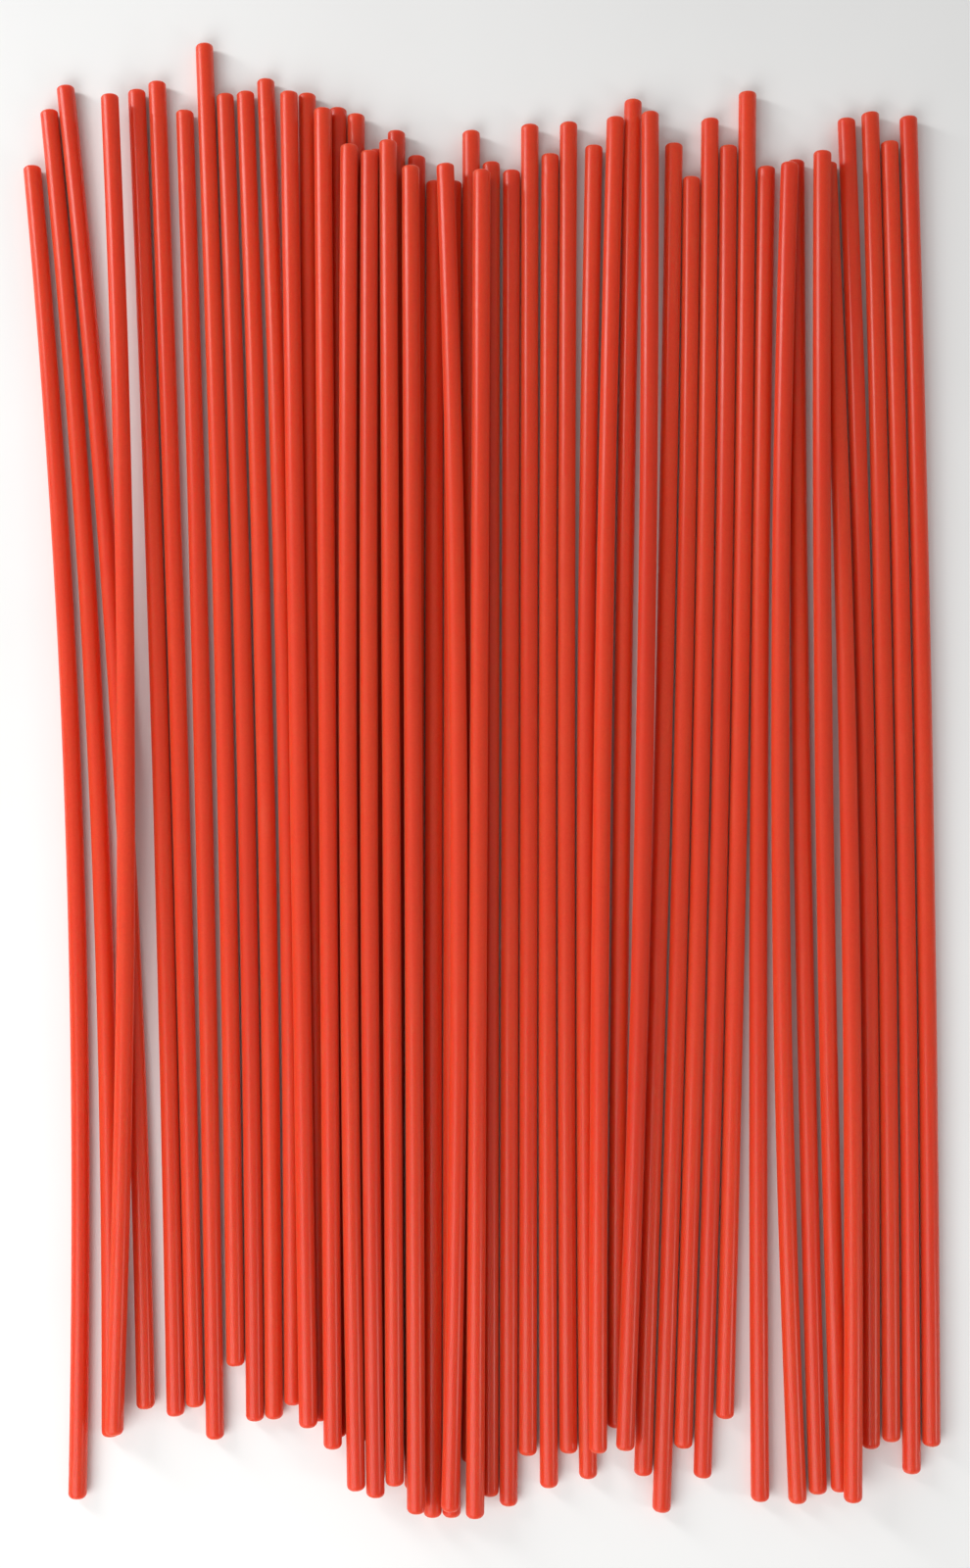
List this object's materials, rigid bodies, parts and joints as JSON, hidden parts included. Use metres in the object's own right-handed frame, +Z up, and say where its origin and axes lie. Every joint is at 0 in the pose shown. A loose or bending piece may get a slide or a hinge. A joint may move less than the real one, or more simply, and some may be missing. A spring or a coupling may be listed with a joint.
{
  "type": "driveway snow marker",
  "caption": "Plain round red-orange plastic driveway snow markers, square-cut and cap-free, laid loosely side by side in a staggered row with a few buried under it.",
  "frame": {"origin": "the middle of the pack's footprint, on the surface that it lies on", "axes": "+X across the row of markers, +Y along the markers towards their visible ends, +Z up"},
  "size_m": [0.421, 0.6754, 0.0172],
  "materials": {
    "marker_plastic": "satin extruded plastic, coloured right through"
  },
  "bodies": {
    "marker_01": {"marker_01": "marker_plastic"},
    "marker_02": {"marker_02": "marker_plastic"},
    "marker_03": {"marker_03": "marker_plastic"},
    "marker_04": {"marker_04": "marker_plastic"},
    "marker_05": {"marker_05": "marker_plastic"},
    "marker_06": {"marker_06": "marker_plastic"},
    "marker_07": {"marker_07": "marker_plastic"},
    "marker_08": {"marker_08": "marker_plastic"},
    "marker_09": {"marker_09": "marker_plastic"},
    "marker_10": {"marker_10": "marker_plastic"},
    "marker_11": {"marker_11": "marker_plastic"},
    "marker_12": {"marker_12": "marker_plastic"},
    "marker_13": {"marker_13": "marker_plastic"},
    "marker_14": {"marker_14": "marker_plastic"},
    "marker_15": {"marker_15": "marker_plastic"},
    "marker_16": {"marker_16": "marker_plastic"},
    "marker_17": {"marker_17": "marker_plastic"},
    "marker_18": {"marker_18": "marker_plastic"},
    "marker_19": {"marker_19": "marker_plastic"},
    "marker_20": {"marker_20": "marker_plastic"},
    "marker_21": {"marker_21": "marker_plastic"},
    "under_marker_01": {"under_marker_01": "marker_plastic"},
    "under_marker_02": {"under_marker_02": "marker_plastic"},
    "under_marker_03": {"under_marker_03": "marker_plastic"},
    "under_marker_04": {"under_marker_04": "marker_plastic"},
    "under_marker_05": {"under_marker_05": "marker_plastic"},
    "under_marker_06": {"under_marker_06": "marker_plastic"},
    "under_marker_07": {"under_marker_07": "marker_plastic"},
    "under_marker_08": {"under_marker_08": "marker_plastic"},
    "marker_22": {"marker_22": "marker_plastic"},
    "marker_23": {"marker_23": "marker_plastic"},
    "marker_24": {"marker_24": "marker_plastic"},
    "marker_25": {"marker_25": "marker_plastic"},
    "marker_26": {"marker_26": "marker_plastic"},
    "marker_27": {"marker_27": "marker_plastic"},
    "marker_28": {"marker_28": "marker_plastic"},
    "marker_29": {"marker_29": "marker_plastic"},
    "marker_30": {"marker_30": "marker_plastic"},
    "marker_31": {"marker_31": "marker_plastic"},
    "marker_32": {"marker_32": "marker_plastic"},
    "marker_33": {"marker_33": "marker_plastic"},
    "marker_34": {"marker_34": "marker_plastic"},
    "marker_35": {"marker_35": "marker_plastic"},
    "marker_36": {"marker_36": "marker_plastic"},
    "marker_37": {"marker_37": "marker_plastic"},
    "marker_38": {"marker_38": "marker_plastic"},
    "marker_39": {"marker_39": "marker_plastic"},
    "marker_40": {"marker_40": "marker_plastic"},
    "marker_41": {"marker_41": "marker_plastic"},
    "marker_42": {"marker_42": "marker_plastic"},
    "marker_43": {"marker_43": "marker_plastic"}
  },
  "joints": [
    {"name": "marker_01_lift", "type": "slide", "parent": "marker_22", "child": "marker_01", "axis": [0, 0, 1], "range_m": [0, 0.06]},
    {"name": "marker_02_lift", "type": "slide", "parent": "marker_22", "child": "marker_02", "axis": [0, 0, 1], "range_m": [0, 0.06]},
    {"name": "marker_03_lift", "type": "slide", "parent": "marker_02", "child": "marker_03", "axis": [0, 0, 1], "range_m": [0, 0.06]},
    {"name": "marker_04_lift", "type": "slide", "parent": "marker_03", "child": "marker_04", "axis": [0, 0, 1], "range_m": [0, 0.06]},
    {"name": "marker_05_lift", "type": "slide", "parent": "marker_22", "child": "marker_05", "axis": [0, 0, 1], "range_m": [0, 0.06]},
    {"name": "marker_06_lift", "type": "slide", "parent": "marker_22", "child": "marker_06", "axis": [0, 0, 1], "range_m": [0, 0.06]},
    {"name": "marker_07_lift", "type": "slide", "parent": "marker_22", "child": "marker_07", "axis": [0, 0, 1], "range_m": [0, 0.06]},
    {"name": "marker_08_lift", "type": "slide", "parent": "marker_22", "child": "marker_08", "axis": [0, 0, 1], "range_m": [0, 0.06]},
    {"name": "marker_09_lift", "type": "slide", "parent": "marker_22", "child": "marker_09", "axis": [0, 0, 1], "range_m": [0, 0.06]},
    {"name": "marker_10_lift", "type": "slide", "parent": "marker_22", "child": "marker_10", "axis": [0, 0, 1], "range_m": [0, 0.06]},
    {"name": "marker_11_lift", "type": "slide", "parent": "marker_22", "child": "marker_11", "axis": [0, 0, 1], "range_m": [0, 0.06]},
    {"name": "marker_12_lift", "type": "slide", "parent": "marker_11", "child": "marker_12", "axis": [0, 0, 1], "range_m": [0, 0.06]},
    {"name": "marker_13_draw", "type": "slide", "parent": "marker_22", "child": "marker_13", "axis": [-0.0148, 0.9999, 0], "range_m": [0, 0.66]},
    {"name": "marker_14_lift", "type": "slide", "parent": "marker_22", "child": "marker_14", "axis": [0, 0, 1], "range_m": [0, 0.06]},
    {"name": "marker_15_lift", "type": "slide", "parent": "marker_22", "child": "marker_15", "axis": [0, 0, 1], "range_m": [0, 0.06]},
    {"name": "marker_16_lift", "type": "slide", "parent": "marker_22", "child": "marker_16", "axis": [0, 0, 1], "range_m": [0, 0.06]},
    {"name": "marker_17_lift", "type": "slide", "parent": "marker_22", "child": "marker_17", "axis": [0, 0, 1], "range_m": [0, 0.06]},
    {"name": "marker_18_lift", "type": "slide", "parent": "marker_22", "child": "marker_18", "axis": [0, 0, 1], "range_m": [0, 0.06]},
    {"name": "marker_19_draw", "type": "slide", "parent": "marker_22", "child": "marker_19", "axis": [0, 1, 0], "range_m": [0, 0.66]},
    {"name": "marker_20_lift", "type": "slide", "parent": "marker_22", "child": "marker_20", "axis": [0, 0, 1], "range_m": [0, 0.06]},
    {"name": "marker_21_lift", "type": "slide", "parent": "marker_22", "child": "marker_21", "axis": [0, 0, 1], "range_m": [0, 0.06]},
    {"name": "under_marker_01_draw", "type": "slide", "parent": "marker_22", "child": "under_marker_01", "axis": [-0.0049, 1, 0], "range_m": [0, 0.66]},
    {"name": "under_marker_02_draw", "type": "slide", "parent": "marker_22", "child": "under_marker_02", "axis": [-0.0049, 1, 0], "range_m": [0, 0.66]},
    {"name": "under_marker_03_draw", "type": "slide", "parent": "marker_22", "child": "under_marker_03", "axis": [-0.0033, 1, 0], "range_m": [0, 0.66]},
    {"name": "under_marker_04_draw", "type": "slide", "parent": "marker_22", "child": "under_marker_04", "axis": [-0.0016, 1, 0], "range_m": [0, 0.66]},
    {"name": "under_marker_05_draw", "type": "slide", "parent": "marker_22", "child": "under_marker_05", "axis": [0, 1, 0], "range_m": [0, 0.66]},
    {"name": "under_marker_06_draw", "type": "slide", "parent": "marker_22", "child": "under_marker_06", "axis": [0, 1, 0], "range_m": [0, 0.66]},
    {"name": "under_marker_07_draw", "type": "slide", "parent": "marker_22", "child": "under_marker_07", "axis": [0, 1, 0], "range_m": [0, 0.66]},
    {"name": "under_marker_08_draw", "type": "slide", "parent": "marker_22", "child": "under_marker_08", "axis": [0.0016, 1, 0], "range_m": [0, 0.66]},
    {"name": "marker_23_lift", "type": "slide", "parent": "marker_22", "child": "marker_23", "axis": [0, 0, 1], "range_m": [0, 0.06]},
    {"name": "marker_24_lift", "type": "slide", "parent": "marker_22", "child": "marker_24", "axis": [0, 0, 1], "range_m": [0, 0.06]},
    {"name": "marker_25_lift", "type": "slide", "parent": "marker_22", "child": "marker_25", "axis": [0, 0, 1], "range_m": [0, 0.06]},
    {"name": "marker_26_lift", "type": "slide", "parent": "marker_22", "child": "marker_26", "axis": [0, 0, 1], "range_m": [0, 0.06]},
    {"name": "marker_27_lift", "type": "slide", "parent": "marker_26", "child": "marker_27", "axis": [0, 0, 1], "range_m": [0, 0.06]},
    {"name": "marker_28_lift", "type": "slide", "parent": "marker_22", "child": "marker_28", "axis": [0, 0, 1], "range_m": [0, 0.06]},
    {"name": "marker_29_lift", "type": "slide", "parent": "marker_28", "child": "marker_29", "axis": [0, 0, 1], "range_m": [0, 0.06]},
    {"name": "marker_30_lift", "type": "slide", "parent": "marker_22", "child": "marker_30", "axis": [0, 0, 1], "range_m": [0, 0.06]},
    {"name": "marker_31_lift", "type": "slide", "parent": "marker_22", "child": "marker_31", "axis": [0, 0, 1], "range_m": [0, 0.06]},
    {"name": "marker_32_lift", "type": "slide", "parent": "marker_22", "child": "marker_32", "axis": [0, 0, 1], "range_m": [0, 0.06]},
    {"name": "marker_33_lift", "type": "slide", "parent": "marker_22", "child": "marker_33", "axis": [0, 0, 1], "range_m": [0, 0.06]},
    {"name": "marker_34_lift", "type": "slide", "parent": "marker_22", "child": "marker_34", "axis": [0, 0, 1], "range_m": [0, 0.06]},
    {"name": "marker_35_lift", "type": "slide", "parent": "marker_22", "child": "marker_35", "axis": [0, 0, 1], "range_m": [0, 0.06]},
    {"name": "marker_36_lift", "type": "slide", "parent": "marker_37", "child": "marker_36", "axis": [0, 0, 1], "range_m": [0, 0.06]},
    {"name": "marker_37_lift", "type": "slide", "parent": "marker_22", "child": "marker_37", "axis": [0, 0, 1], "range_m": [0, 0.06]},
    {"name": "marker_38_lift", "type": "slide", "parent": "marker_39", "child": "marker_38", "axis": [-0.5591, 0, 0.8291], "range_m": [0, 0.06]},
    {"name": "marker_39_lift", "type": "slide", "parent": "marker_22", "child": "marker_39", "axis": [0, 0, 1], "range_m": [0, 0.06]},
    {"name": "marker_40_lift", "type": "slide", "parent": "marker_22", "child": "marker_40", "axis": [0, 0, 1], "range_m": [0, 0.06]},
    {"name": "marker_41_lift", "type": "slide", "parent": "marker_22", "child": "marker_41", "axis": [0, 0, 1], "range_m": [0, 0.06]},
    {"name": "marker_42_lift", "type": "slide", "parent": "marker_22", "child": "marker_42", "axis": [0, 0, 1], "range_m": [0, 0.06]},
    {"name": "marker_43_lift", "type": "slide", "parent": "marker_22", "child": "marker_43", "axis": [0, 0, 1], "range_m": [0, 0.06]}
  ]
}
